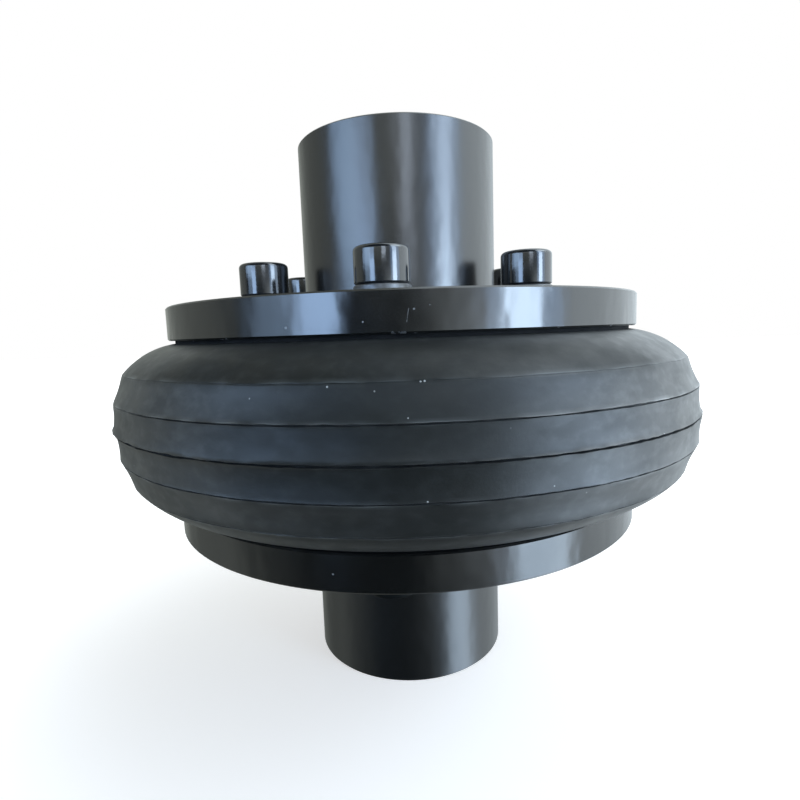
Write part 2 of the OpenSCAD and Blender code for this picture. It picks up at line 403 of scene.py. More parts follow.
# %% Hub finish
BLACK_STEEL = (0.0045, 0.005, 0.005, 1)
BARE_STEEL = (0.26, 0.27, 0.28, 1)
SHINE, CLOUDING = 0.12, 0.07  # roughness of the clean skin, and what clouds and smears each add
BOSS_DULL, BOSS_EVEN = 0.125, 0.95  # roughness that a boss adds, and the share of the clouding that it loses
TOP_DULL, LOWER_DULL, BARE_DULL = 0.01, 0.05, 0.25  # added at the top, on the lower boss and on bare metal
TURNING_HIGH, BROAD_HIGH, FINE_HIGH = 0.04, 4.0, 0.12  # heights of turning marks and waves, in bump steps
BUMP_STEP = 0.1 * MM

clouds = noise(hub_place, 34, 4)
smears = noise(hub_place, 70, 3, (1, 1, 0.35))
lathe_place = x.node("ShaderNodeCombineXYZ", inputs={0: radius, 1: z, 2: 0.0})
turning = noise(lathe_place, 2600, 2)

bare.blend(BLACK_STEEL, BARE_STEEL).feed(hub_shader.inputs["Base Color"])
uneven = CLOUDING * clouds.rise(0.3, 0.7) + CLOUDING * smears.rise(0.3, 0.7)
boss = 1 - radius.rise(45 * MM, 55 * MM)
dull = BOSS_DULL - BOSS_EVEN * uneven + TOP_DULL * z.rise(50 * MM, 105 * MM) + LOWER_DULL * (0 - z).rise(0, MM)
(SHINE + uneven + boss * dull + BARE_DULL * bare).feed(hub_shader.inputs["Roughness"])
broad, fine = noise(hub_place, 80, 2, (1, 1, 0.5)), noise(hub_place, 400, 2)
waves = TURNING_HIGH * turning + BROAD_HIGH * broad + FINE_HIGH * fine
hub_bump = waves.node("ShaderNodeBump", inputs={"Strength": 1.0, "Distance": BUMP_STEP, "Height": waves})
hub_bump.feed(hub_shader.inputs["Normal"])
print(hub_finish.name, "has", len(hub_finish.node_tree.nodes), "nodes")

# %% [markdown]
# ## Dust, painted bounce light, streaks and crumbs
# Rubber holds what it touches. Dust settles on the shoulders, hands leave streaks, and crumbs of chalk and lint stick
# to it, and the lower half is paler, in streaks. The dust lies thickest on the lower shoulder, and there it is partly
# painted light, which stands in for the light that the floor throws up. A painted picture could show them all, but it
# would need a map of the surface. Here each is noise with a grain of its own, and the crumbs that the eye finds first
# are small balls at their places.

# %% Rubber patterns
SHOULDER_Z = 18.5  # mm, where the shoulder starts
UNROLL_R = 0.11  # metres, radius at which the crown is unrolled for the small crumbs
CRUMB_CELLS = 95.0  # cells to a metre, few of which hold a crumb
SPECKS = [  # angle in degrees, height, distance from the axis and size in mm: crumbs of chalk and lint
    (-93.8, 17.8, 106.3, 0.34),
    (-81.7, 18.5, 106.0, 0.36),
    (-82.2, 18.4, 106.0, 0.3),
    (-81.9, -8.7, 109.4, 0.32),
    (-45.9, 0.3, 110.7, 0.5),
    (-97.7, 22.0, 102.0, 0.25),
    (-83.9, 10.6, 109.0, 0.22),
    (-80.1, 2.8, 110.0, 0.2),
    (-40.2, 24.5, 97.5, 0.35),
]

tyre_finish, tyre_shader, tyre_place = new_finish(
    "tyre_rubber", {"IOR": 1.5, "Coat IOR": 1.75, "Coat Roughness": 0.5}
)
x, y, z = tyre_place.parts()
sunk = 0 - z
patches = noise(tyre_place, 26, 4).rise(0.3, 0.7)
rubbed = noise(tyre_place, 90, 4, (1, 1, 1.6)).rise(0.35, 0.7)
streaks = noise(tyre_place, 42, 5, (1, 1, 2.4)).rise(0.3, 0.7)
stains = noise(tyre_place, 240, 4, (1, 1, 1.5)).rise(0.42, 0.75)

shoulders = (abs(z) - SHOULDER_Z * MM).rise(0.5 * MM, 5 * MM)
dust_and_bounce = shoulders * (0.35 + 0.65 * noise(tyre_place, 45, 4).rise(0.4, 0.65))
# partly painted light: the dust is laid thickest on the lower half, where it stands in for light thrown up from the
# floor
dust_and_bounce_depth = 0.03 + 0.6 * sunk.rise(0, 10 * MM) + z.rise(0, 10 * MM) * (0 - x).rise(40 * MM, 85 * MM)
# the lower half is paler, in streaks
lower_paling = sunk.rise(7 * MM, 12 * MM) * (0.14 + 0.14 * streaks)
wiped = abs(z).rise(16 * MM, 20 * MM) * 0.25 * streaks * stains

unrolled = x.node("ShaderNodeCombineXYZ", inputs={0: y.maths("ARCTAN2", y, x) * UNROLL_R, 1: z, 2: 0.0})
flat_cells = {"voronoi_dimensions": "2D"}
cells = tyre_place.node("ShaderNodeTexVoronoi", flat_cells, {"Vector": unrolled, "Scale": CRUMB_CELLS})
cell_pick = Signal(cells.socket.node.outputs["Color"]).parts()[0]
specks = 0.6 * (1 - cells.rise(0.012, 0.026)) * cell_pick.rise(0.93, 0.935)
for degrees, height, reach, size in SPECKS:
    spot = np.array([reach * np.cos(np.radians(degrees)), reach * np.sin(np.radians(degrees)), height]) * MM
    specks = specks + (1 - distance_from(tyre_place, spot).rise(0.4 * size * MM, size * MM))
print("dust, streaks and", len(SPECKS), "placed crumbs take", len(tyre_finish.node_tree.nodes), "nodes")

# %% [markdown]
# ## Moulded rubber
# The tyre is charcoal rubber straight from the mould, matt and a little bluish where it mirrors the windows. Along
# the mould lines the colour is darker in the grooves, which is painted shade, and paler on the lips beside them, which
# is a painted highlight. The collar under each flange gets the same painted shade. Those marks follow the surface, so
# the mesh carries a number called seam at each vertex, above nought in a groove and on the collar and below it on a
# lip, and the finish reads it and makes the grooves and the collar rougher. A waxy bloom makes the rubber shine most
# where it is seen at a slant. A lower roughness would shine everywhere, so the bloom is a coat whose weight grows with
# the slant.

# %% Tyre finish
RUBBER_DARK = (0.0055, 0.0065, 0.0055, 1)
RUBBER_GREY = (0.015, 0.0165, 0.015, 1)
# painted highlight: the colour of the pale lips beside the mould lines
RUBBER_LIP_HIGHLIGHT = (0.075, 0.08, 0.078, 1)
# painted shade: the colour of the grooves of the mould lines and of the collar under each flange
RUBBER_PAINTED_SHADE = (0.003, 0.004, 0.005, 1)
# colour of the dust, and on the lower shoulder partly painted light from the floor
RUBBER_DUST_AND_BOUNCE = (0.06, 0.058, 0.05, 1)
SPECK_WHITE = (0.42, 0.42, 0.4, 1)
BLOOM, BLOOM_LOW, BLOOM_STREAKS, BLOOM_STAINS = 0.64, 0.22, 0.4, 0.3

seam = tyre_place.node("ShaderNodeAttribute", {"attribute_name": "seam"}, output="Fac")
body = (0.5 * patches + 0.3 * streaks + 0.5 * stains).blend(RUBBER_DARK, RUBBER_GREY)
dust_and_bounce_colour = (dust_and_bounce * dust_and_bounce_depth + lower_paling + wiped).blend(body, RUBBER_DUST_AND_BOUNCE)
# painted highlight: where seam is below nought, on the lips, the colour turns paler
with_lip_highlights = (0 - seam).blend(dust_and_bounce_colour, RUBBER_LIP_HIGHLIGHT)
# painted shade: where seam is above nought, in the grooves and on the collar, the colour darkens
with_painted_shade = seam.blend(with_lip_highlights, RUBBER_PAINTED_SHADE)
specks.blend(with_painted_shade, SPECK_WHITE).feed(tyre_shader.inputs["Base Color"])
rough_at_seams = seam.maths("MAXIMUM", seam, 0.0)
(0.43 + 0.14 * rubbed + 0.1 * dust_and_bounce + 0.3 * rough_at_seams).feed(tyre_shader.inputs["Roughness"])

slant = tyre_place.node("ShaderNodeLayerWeight", inputs={"Blend": 0.5}, output="Facing")
crown = 1 - abs(z).rise(16 * MM, 20 * MM)
bloom = crown * slant.rise(0.05, 0.46) + (1 - crown) * slant.rise(0.5, 0.85)
waxy = BLOOM + BLOOM_LOW * sunk.rise(0, 8 * MM) + BLOOM_STREAKS * streaks + BLOOM_STAINS * stains
(bloom * waxy * (1 - seam)).feed(tyre_shader.inputs["Coat Weight"])
grain = noise(tyre_place, 1400, 3)
tyre_bump = grain.node("ShaderNodeBump", inputs={"Strength": 0.12, "Distance": 0.2 * MM, "Height": grain})
tyre_bump.feed(tyre_shader.inputs["Normal"])
print(tyre_finish.name, "has", len(tyre_finish.node_tree.nodes), "nodes")

# %% [markdown]
# ## Screws, washers, rings and nuts
# The socket screws are forged, hardened and blackened in oil, so they are glossier than the hubs. The spring washers
# are dull and worn pale. The insert rings and weld nuts inside the tyre are plain zinc plated steel. The lower screws
# hang in the shade under the flange, so they get a darker and duller copy of the screw finish, which is painted shade.
# Five materials could be put together by hand, but one function makes them all, because they differ only in colours,
# shine and the size of their spots.

# %% Small steel finishes


def spotted_steel(name, dark, light, shine, spread, spot_size, constants):
    """Steel whose colour and roughness wander together between two values in spots of a given size in mm."""
    material, shader, place = new_finish(name, constants)
    spots = noise(place, 1000 / spot_size, 4).rise(0.35, 0.7)
    spots.blend(dark, light).feed(shader.inputs["Base Color"])
    (shine + spread * spots).feed(shader.inputs["Roughness"])
    rough = noise(place, 4000 / spot_size, 2)
    skin = rough.node("ShaderNodeBump", inputs={"Strength": 0.12, "Distance": BUMP_STEP, "Height": rough})
    skin.feed(shader.inputs["Normal"])
    print(name, "has", len(material.node_tree.nodes), "nodes")
    return material


STEELS = {  # dark and light colour; roughness and what spots add to it; size of the spots in mm; shader's constants
    "screw_black": ((0.008, 0.01, 0.012, 1), (0.016, 0.018, 0.021, 1), 0.10, 0.06, 6, {"IOR": 2.05}),
    # painted shade: a darker, duller copy of screw_black for the lower screws, which hang in the shade
    "screw_painted_shade": ((0.004, 0.005, 0.005, 1), (0.008, 0.009, 0.009, 1), 0.35, 0.15, 6, {"IOR": 1.2}),
    "washer_black": ((0.12, 0.12, 0.122, 1), (0.26, 0.26, 0.26, 1), 0.32, 0.15, 3, {"Metallic": 0.6}),
    "insert_steel": ((0.34, 0.35, 0.36, 1), (0.46, 0.46, 0.46, 1), 0.3, 0.15, 12, {"Metallic": 1.0}),
    "nut_steel": ((0.42, 0.42, 0.40, 1), (0.55, 0.54, 0.50, 1), 0.25, 0.15, 8, {"Metallic": 1.0}),
}
steels = {name: spotted_steel(name, *values) for name, values in STEELS.items()}

# %% [markdown]
# ## From grids of points to a mesh
# Every new piece is made of sheets: grids of points worked out from two parameters. A sheet that goes round a ring
# meets itself, and sheets meet each other along their edges, so points that coincide are welded into one vertex. A
# row that shrinks to a point leaves quads with a doubled corner, and those become triangles. Welding makes the piece
# one closed skin, which the line printed for it proves: no open edges, and a volume above nought.

# %% Mesh builder
WELD = 1e-6  # metres
CREASE = np.radians(32)


def quads_of(rows, columns):
    """Corner numbers of the quads of a grid, row after row."""
    k = np.arange(rows * columns).reshape(rows, columns)
    return np.stack([k[:-1, :-1], k[:-1, 1:], k[1:, 1:], k[1:, :-1]], axis=-1).reshape(-1, 4)


def build_piece(name, sheets, finish, node, seams=None):
    """Welds sheets of shape (rows, columns, 3), in mm, into one closed mesh that stands for a CAD node."""
    points = np.concatenate([s.reshape(-1, 3) for s in sheets]) * MM
    starts = np.cumsum([0] + [s.shape[0] * s.shape[1] for s in sheets[:-1]])
    quads = np.concatenate([quads_of(*s.shape[:2]) + k for s, k in zip(sheets, starts)])
    cells = np.round(points / WELD).astype(np.int64)
    _, first, merged = np.unique(cells, axis=0, return_index=True, return_inverse=True)
    quads = merged.ravel()[quads]
    doubled = quads == np.roll(quads, -1, axis=1)
    count = doubled.sum(axis=1)
    triangles = quads[count == 1][~doubled[count == 1]].reshape(-1, 3)

    mesh = bpy.data.meshes.new(name)
    mesh.from_pydata(points[first].tolist(), [], quads[count == 0].tolist() + triangles.tolist())
    skin = bmesh.new()
    skin.from_mesh(mesh)
    bmesh.ops.recalc_face_normals(skin, faces=skin.faces)
    open_edges = sum(not e.is_manifold for e in skin.edges)
    volume = skin.calc_volume(signed=True) / MM**3
    skin.to_mesh(mesh)
    skin.free()
    mesh.shade_smooth()
    mesh.set_sharp_from_angle(angle=CREASE)
    if seams is not None:
        marks = np.concatenate([s.ravel() for s in seams])[first]
        mesh.attributes.new("seam", "FLOAT", "POINT").data.foreach_set("value", marks.astype(np.float32))
    mesh.materials.append(finish)

    piece = bpy.data.objects.new(name, mesh)
    scene.collection.objects.link(piece)
    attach(piece, "root")
    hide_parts(node)
    tris = sum(len(p.vertices) - 2 for p in mesh.polygons)
    print(f"{name}: {tris} triangles, {open_edges} open edges, {volume / 1000:.1f} cm3")


def lathe(radius, height, turn):
    """Rings round the axis: the point at row i and angle t has radius[i, t] and height[i, t]."""
    radius, height, turn = np.broadcast_arrays(radius, height, turn)
    return np.stack([radius * np.cos(turn), radius * np.sin(turn), height], axis=-1)


def mirrored(sheets):
    """The same sheets on the other side of the tyre's middle."""
    return [s * np.array([1, 1, -1]) for s in sheets]


print("points weld within", WELD / MM, "mm, and edges sharper than", round(np.degrees(CREASE)), "degrees stay sharp")

# %% [markdown]
# ## Plates with six holes
# The flanges and the beads of the tyre are flat rings with a hole for each screw. A boolean cut would do it and leave
# long thin faces. Instead each sixth of the ring is ruled: straight lines run from the circle of its hole to the
# outline of the sixth. The lines start at the same places on every circle, so the wall of a hole is a plain sheet
# between two such circles.

# %% Pierced rings
SCREW_COUNT = 6
SCREW_RING_R = 55.5  # mm
FIRST_TURN = np.radians(-120)  # the first sixth starts here, and its screw is in its middle
SCREW_TURNS = FIRST_TURN + np.radians(30 + 60 * np.arange(SCREW_COUNT))
SPOKE_IN, SPOKE_OUT = 40.0, 84.0  # mm, the ring towards whose outline all rulings start
SIDE_STEPS, RULING_STEPS = 8, 3


def full_turn(steps):
    """Angles of a full turn in equal steps, from the edge of the first sixth."""
    return FIRST_TURN + np.linspace(0, 2 * np.pi, steps + 1)


def sixth_outline(inner_r, outer_r, turn):
    """Outline of a sixth of a ring: outer arc, side inwards, inner arc back, side outwards."""
    across = np.linspace(outer_r, inner_r, SIDE_STEPS + 1)
    arc = len(turn) - 1
    r = np.concatenate([np.full(arc, outer_r), across[:-1], np.full(arc, inner_r), across[::-1]])
    t = np.concatenate([turn[:-1], np.full(SIDE_STEPS, turn[-1]), turn[:0:-1], np.full(SIDE_STEPS + 1, turn[0])])
    return np.stack([r * np.cos(t), r * np.sin(t)], axis=-1)


def sixths(turn):
    """For each sixth: its angles, the middle of its hole, and the directions of its rulings at the hole."""
    per = (len(turn) - 1) // SCREW_COUNT
    for k, screw_turn in enumerate(SCREW_TURNS):
        part = turn[k * per : (k + 1) * per + 1]
        centre = SCREW_RING_R * np.array([np.cos(screw_turn), np.sin(screw_turn)])
        spokes = sixth_outline(SPOKE_IN, SPOKE_OUT, part) - centre
        yield part, centre, spokes / np.linalg.norm(spokes, axis=-1, keepdims=True)


def pierced_ring(inner_r, outer_r, z, hole_r, turn):
    """Flat ring at height z. A ruling goes from the hole (share 0) to the outline of its sixth (share 1)."""
    share = np.linspace(0, 1, RULING_STEPS + 1)[:, None, None]
    sheets = []
    for part, centre, spokes in sixths(turn):
        flat = (1 - share) * (centre + hole_r * spokes) + share * sixth_outline(inner_r, outer_r, part)
        sheets.append(np.concatenate([flat, np.full(flat.shape[:2] + (1,), z)], axis=-1))
    return sheets


def hole_walls(hole_r, low, high, turn):
    """Walls of the six holes between two levels."""
    level = np.array([low, high])[:, None]
    sheets = []
    for _, centre, spokes in sixths(turn):
        rim = np.broadcast_to(centre + hole_r * spokes, (2,) + spokes.shape)
        sheets.append(np.concatenate([rim, np.broadcast_to(level, rim.shape[:2])[..., None]], axis=-1))
    return sheets


print("screws at", np.round(np.degrees(SCREW_TURNS)), "degrees")

# %% [markdown]
# ## The tyre
# The tyre is a body of revolution with a C section, but it isn't perfectly round: it was moulded in pieces, and thin
# fins of rubber, called flash, squeezed out along the five lines where the mould parted. The fins were torn off, which
# left ragged lines. A plain revolved curve can't show that. So the section is a list of rings, and each ridge is ten
# rings whose radius and height wander along the way round. A wander is a sum of waves with fixed random phases, which
# closes on itself after a full turn. The line above the middle one nearly vanishes on the left.

# %% Tyre rings
TYRE_R = 110.75  # mm, over the middle ridge
RIDGE_PITCH = 9.25
TYRE_FACE = 29.25
COLLAR_R, COLLAR_LOW = 88.1, 28.25
SHOULDER_R = 28.0
BEAD_BORE_R, BEAD_LOW = 40.15, 19.25
RING_SEAT_R, RING_LOW = 76.0, 14.25
CAVITY_MIDDLE_R = 82.5
BEAD_HOLE_R = 7.25
TYRE_STEPS = 576
SHOULDER_STEPS, BAND_STEPS, CAVITY_STEPS = 18, 5, 24

tyre_turn = full_turn(TYRE_STEPS)
chance = np.random.default_rng(12)


def wander(lowest, highest):
    """Sum of waves of these counts per turn, with random phases, scaled to a spread of one."""
    counts = np.arange(lowest, highest)
    waves = np.cos(counts[:, None] * tyre_turn[:-1] + chance.uniform(0, 2 * np.pi, len(counts))[:, None])
    total = waves.sum(axis=0) / np.sqrt(len(counts) / 2)
    return np.append(total, total[0])


def arc_through(start, end, radius, steps):
    """Points [r, z] from start to end on a circle that bulges to the left of the way."""
    start, end = np.array(start), np.array(end)
    way = end - start
    normal = np.array([way[1], -way[0]]) / np.linalg.norm(way)
    centre = (start + end) / 2 + normal * np.sqrt(radius**2 - way @ way / 4)
    first, last = start - centre, end - centre
    a = np.arctan2(first[1], first[0])
    swing = np.arctan2(first[0] * last[1] - first[1] * last[0], first @ last)
    t = a + swing * np.linspace(0, 1, steps + 1)
    return centre + radius * np.stack([np.cos(t), np.sin(t)], axis=-1)


# Rings of a ridge: height above its middle in mm, and as a share of the line's width; share of the crest; share of the
# line's depth; painted shade of the dark line; painted highlights of the upper and the lower lip
RIDGE_RINGS = np.array([
    (1.3, 0.0, 0.0, 0.0, 0.0, 0.0, 0.0),
    (0.45, 0.5, 0.35, 0.0, 0.0, 0.3, 0.0),
    (0.1, 0.5, 1.0, 0.0, 0.0, 1.0, 0.0),
    (0.0, 0.5, 0.8, -0.5, 0.8, 0.0, 0.0),
    (0.0, 0.15, 0.1, -1.0, 1.0, 0.0, 0.0),
    (0.0, -0.15, 0.0, -1.0, 1.0, 0.0, 0.0),
    (0.0, -0.5, 0.2, -0.5, 0.8, 0.0, 0.0),
    (-0.1, -0.5, 0.5, 0.0, 0.0, 0.0, 1.0),
    (-0.45, -0.5, 0.15, 0.0, 0.0, 0.0, 0.3),
    (-1.3, 0.0, 0.0, 0.0, 0.0, 0.0, 0.0),
])
# The strength of the dark line is painted shade, and the strengths of the pale lips are painted highlights.
RIDGES = {  # number from the middle up: radius, crest, width and depth of the dark line, raggedness; strength of the
    # dark line, of its upper and of its lower pale lip
    2: (106.0, 0.08, 0.2, 0.04, 0.3, 0.1, 0.6, 0.15),
    1: (109.5, 0.26, 0.32, 0.28, 0.2, 0.8, 0.8, 0.2),
    0: (110.2, 0.5, 0.5, 0.45, 0.25, 1.0, 0.05, 0.05),
    -1: (109.4, 0.15, 0.3, 0.28, 0.25, 0.9, 0.1, 0.6),
    -2: (106.0, 0.08, 0.22, 0.12, 0.4, 0.6, 0.1, 0.6),
}
SHOULDER_SLOPE = 0.84  # how fast the radius falls where the shoulder starts
FAINT_LINE, FAINT_SHARE = 1, 0.9  # the line that nearly vanishes, and how much of it goes
FAINT_AT, FAINT_REACH = np.radians(213), np.radians(20)  # where, and how far round


def ridge_rings(number):
    """Radius, height and seam mark of the rings of a ridge, whose dark line varies in width and depth on its way."""
    middle, crest, wide, deep, ragged, strength, upper_highlight, lower_highlight = RIDGES[number]
    high, share, lift, cut, mark, over, under = RIDGE_RINGS.T[:, :, None]
    rise_up = (RIDGES[number + 1][0] - middle) / RIDGE_PITCH if number < 2 else -SHOULDER_SLOPE
    rise_down = (RIDGES[number - 1][0] - middle) / RIDGE_PITCH if number > -2 else -SHOULDER_SLOPE
    width = wide * np.clip(1 + ragged * (wander(5, 40) + 0.5 * wander(60, 190)), 0.3, 2.2)
    depth = deep * np.clip(1 + ragged * wander(8, 120), 0.1, 2.0)
    crest = crest * np.clip(1 + 0.8 * ragged * wander(8, 90), 0.2, 1.8)
    drift = 0.12 * ragged * (wander(4, 30) + 0.6 * wander(40, 160))
    from_faint = (tyre_turn - FAINT_AT + np.pi) % (2 * np.pi) - np.pi
    clear = 1 - FAINT_SHARE * (number == FAINT_LINE) * np.exp(-((from_faint / FAINT_REACH) ** 2))
    height = high + share * width + drift * (np.abs(high) < 1)
    slope = np.where(height > 0, rise_up * height, -rise_down * height)
    radius = middle + slope + clear * (lift * crest + cut * depth)
    # painted shade in the dark line of the ridge, where the seam mark goes above nought
    dark = clear * strength * mark * np.clip(0.8 + 0.3 * wander(6, 120), 0.2, 1)
    # painted highlight on the lips, where the seam mark goes below nought
    pale = (upper_highlight * over + lower_highlight * under) * np.clip(0.6 + 0.6 * wander(4, 60), 0, 2)
    return radius, number * RIDGE_PITCH + height, dark - pale + np.zeros_like(radius)


def as_rings(points):
    """Plain rings from points [r, z] of the section, with no seam mark."""
    flat = np.ones(len(tyre_turn))
    return points[:, :1] * flat, points[:, 1:] * flat, 0 * points[:, :1] * flat


print(len(RIDGES), "ridges of", len(RIDGE_RINGS), "rings, each ring in", TYRE_STEPS, "steps")

# %% [markdown]
# ## The skin of the tyre
# Between two ridges the rubber is a band that is hollowed a little, and from the outer ridges to the beads it is an
# arc. These rings are stacked from the upper bead to the lower one and become a single sheet, which swells a little
# here and there. The rubber also sits about a millimetre to the right of the shaft, more so in its lower half. Inside
# are plain walls: the seats of the insert rings and the hollow between them. A solid of revolution with a boolean cut
# could make those, but sheets weld to the skin without a seam.

# %% Tyre skin
BAND_HOLLOW, SWELL = 0.2, 0.1  # mm
LEAN_UPPER, LEAN_LOWER = 0.5, 1.15  # mm to the right
LEAN_LEVEL, LEAN_STEP = -0.4, 0.5  # mm, the height at which the lean changes, and over what height

outside = [ridge_rings(number) for number in sorted(RIDGES, reverse=True)]
share = np.linspace(0, 1, BAND_STEPS + 1)[1:-1, None]
hollow = BAND_HOLLOW * 4 * share * (1 - share)
bands = []
for above, below in zip(outside[:-1], outside[1:]):
    band_r, band_z, band_seam = [(1 - share) * a[-1] + share * b[0] for a, b in zip(above, below)]
    bands.append((band_r - hollow, band_z, band_seam))

edge = (RIDGES[2][0] - SHOULDER_SLOPE * RIDGE_RINGS[0, 0], 2 * RIDGE_PITCH + RIDGE_RINGS[0, 0])
shoulder = arc_through((COLLAR_R, COLLAR_LOW), edge, SHOULDER_R, SHOULDER_STEPS)
upper_edge = as_rings(np.vstack([(COLLAR_R, TYRE_FACE), shoulder[:-1]]))
# painted shade: the collar under the flange gets the seam mark, so it takes the dark colour of the grooves
upper_edge[2][:2] = 1.0
lower_edge = [rows[::-1] * sign for rows, sign in zip(upper_edge, (1, -1, 1))]

stack = [upper_edge, outside[0]]
for band, ridge in zip(bands, outside[1:]):
    stack += [band, ridge]
stack.append(lower_edge)
skin_r, skin_z, skin_seam = [np.concatenate([rows[i] for rows in stack]) for i in range(3)]

swell = SWELL * (wander(2, 9) + 0.5 * wander(9, 24))
outward = np.clip((skin_r - COLLAR_R) / (TYRE_R - COLLAR_R), 0, 1)
upper_share = 0.5 + 0.5 * np.tanh((skin_z - LEAN_LEVEL) / LEAN_STEP)
lean = (LEAN_LOWER + (LEAN_UPPER - LEAN_LOWER) * upper_share) * outward
skin = lathe(skin_r + swell * outward, skin_z, tyre_turn)
skin += lean[..., None] * aside(90)

half_turn = np.linspace(0, np.pi, CAVITY_STEPS + 1)
cavity = np.stack([CAVITY_MIDDLE_R + RING_LOW * np.sin(half_turn), RING_LOW * np.cos(half_turn)], axis=-1)
upper_seat = np.array([(BEAD_BORE_R, TYRE_FACE), (BEAD_BORE_R, BEAD_LOW)])
seat_wall = np.array([(RING_SEAT_R, BEAD_LOW), (RING_SEAT_R, RING_LOW)])
inner_wall = np.vstack([seat_wall, cavity, seat_wall[::-1] * np.array([1, -1])])
inner = lathe(inner_wall[:, :1], inner_wall[:, 1:], tyre_turn)
bore_wall = lathe(upper_seat[:, :1], upper_seat[:, 1:], tyre_turn)

bead = [
    bore_wall,
    *pierced_ring(BEAD_BORE_R, COLLAR_R, TYRE_FACE, BEAD_HOLE_R, tyre_turn),
    *pierced_ring(BEAD_BORE_R, RING_SEAT_R, BEAD_LOW, BEAD_HOLE_R, tyre_turn),
    *hole_walls(BEAD_HOLE_R, BEAD_LOW, TYRE_FACE, tyre_turn),
]
tyre_sheets = [skin, inner, *bead, *mirrored(bead)]
tyre_seams = [skin_seam] + [np.zeros(s.shape[:2]) for s in tyre_sheets[1:]]
build_piece("ribbed_tyre", tyre_sheets, tyre_finish, "tyre", tyre_seams)

# %% [markdown]
# ## The hubs
# A hub is turned in a lathe and then gets a keyway, so it is round everywhere but in its bore. A boolean could cut the
# keyway, but rings can follow it just as well. All rings share one set of angles, in which the corners of the keyway
# have a place of their own. In the bore the radius of a ring is the larger of two: the round bore, and the straight
# walls of the keyway seen from the axis.

# %% Hub
BOSS_R, BOSS_TOP = 38.75, 102.25  # mm
SPIGOT_R, SPIGOT_LOW = 40.0, 18.25
FILLET_R, EDGE = 3.0, 0.5
BORE_R, BORE_EDGE = 22.5, 1.5
KEY_HALF, KEY_FLOOR = 7.0, 26.3  # mm: half of its width, and its floor from the axis
FLANGE_HOLE_R = 6.75
HUB_STEPS = 288
KEY_STEPS = (12, 14, 15)  # steps from the middle of the keyway to its corners
FILLET_STEPS = 8

hub_turn = full_turn(HUB_STEPS)
key_corners = [
    np.arctan2(KEY_HALF, KEY_FLOOR),
    np.arcsin(KEY_HALF / (BORE_R + BORE_EDGE)),
    np.arcsin(KEY_HALF / BORE_R),
]
key_middle = HUB_STEPS // 3
for corner, steps in zip(key_corners, KEY_STEPS):
    hub_turn[key_middle + steps], hub_turn[key_middle - steps] = corner, -corner

half = np.abs((hub_turn + np.pi) % (2 * np.pi) - np.pi)
walls = np.where(half < np.pi / 2, KEY_HALF / np.sin(np.maximum(half, 1e-3)), 0)
keyway = np.where(half <= key_corners[0] + 1e-9, KEY_FLOOR / np.cos(half), walls)
bore = np.maximum(BORE_R, keyway)
mouth = np.maximum(BORE_R + BORE_EDGE, keyway)

fillet = np.linspace(-np.pi / 2, -np.pi, FILLET_STEPS + 1)
boss_rings = [(BOSS_R + FILLET_R * (1 + np.cos(a)), FLANGE_OUT + FILLET_R * (1 + np.sin(a))) for a in fillet]
boss_rings += [
    (BOSS_R, BOSS_TOP - EDGE),
    (BOSS_R - EDGE, BOSS_TOP),
    (mouth, BOSS_TOP),
    (bore, BOSS_TOP - BORE_EDGE),
    (bore, SPIGOT_LOW + BORE_EDGE),
    (mouth, SPIGOT_LOW),
    (SPIGOT_R - EDGE, SPIGOT_LOW),
    (SPIGOT_R, SPIGOT_LOW + EDGE),
    (SPIGOT_R, FLANGE_IN),
]
rim_rings = [
    (FLANGE_R - EDGE, FLANGE_IN),
    (FLANGE_R, FLANGE_IN + EDGE),
    (FLANGE_R, FLANGE_OUT - EDGE),
    (FLANGE_R - EDGE, FLANGE_OUT),
]


def turned_rings(rings, turn):
    """One sheet from a list of rings (radius, height), whose radius may change on the way round."""
    radius = np.stack([r * np.ones_like(turn) for r, _ in rings])
    return lathe(radius, np.array([z for _, z in rings])[:, None], turn)


hub_sheets = [
    turned_rings(boss_rings, hub_turn),
    turned_rings(rim_rings, hub_turn),
    *pierced_ring(BOSS_R + FILLET_R, FLANGE_R - EDGE, FLANGE_OUT, FLANGE_HOLE_R, hub_turn),
    *pierced_ring(SPIGOT_R, FLANGE_R - EDGE, FLANGE_IN, FLANGE_HOLE_R, hub_turn),
    *hole_walls(FLANGE_HOLE_R, FLANGE_IN, FLANGE_OUT, hub_turn),
]
build_piece("turned_upper_hub", hub_sheets, hub_finish, "upper_hub")
build_piece("turned_lower_hub", mirrored(hub_sheets), hub_finish, "lower_hub")

# %% [markdown]
# ## The socket screws
# A socket screw has a smooth round head with a rounded top edge, a hexagon socket with a small countersink, and a
# threaded shank. It is one lathe sheet again: the socket is a ring whose radius follows a hexagon, and the thread is a
# radius that rises and falls along the shank with a phase that turns with the angle, which makes a helix. The six
# screws are turned by chance, as a wrench leaves them.

# %% Screws
HEAD_BASE = FLANGE_OUT + 3.6  # mm, on top of the washer
HEAD_R, HEAD_H, HEAD_ROUND = 8.9, 12.0, 1.6
SOCKET_HALF, SOCKET_FLOOR, SOCKET_CONE, SOCKET_MOUTH_R = 5.0, 6.0, 1.2, 5.95
SHANK_R, SHANK_LEN, SHANK_EDGE, UNDER_EDGE = 6.0, 40.0, 0.8, 0.8
THREAD_PITCH, THREAD_DEPTH, THREAD_TOP, THREAD_ROWS = 1.75, 0.85, 4.0, 84
CONE_R_SHARE, MOUTH_DROP = 0.8, 0.45  # cone of the socket's floor against its flats; countersink in mm
NECK_STEP, NECK_DROP = 0.05, 0.4  # mm, small chamfer between head and shank
SCREW_STEPS, ROUND_STEPS = 72, 7

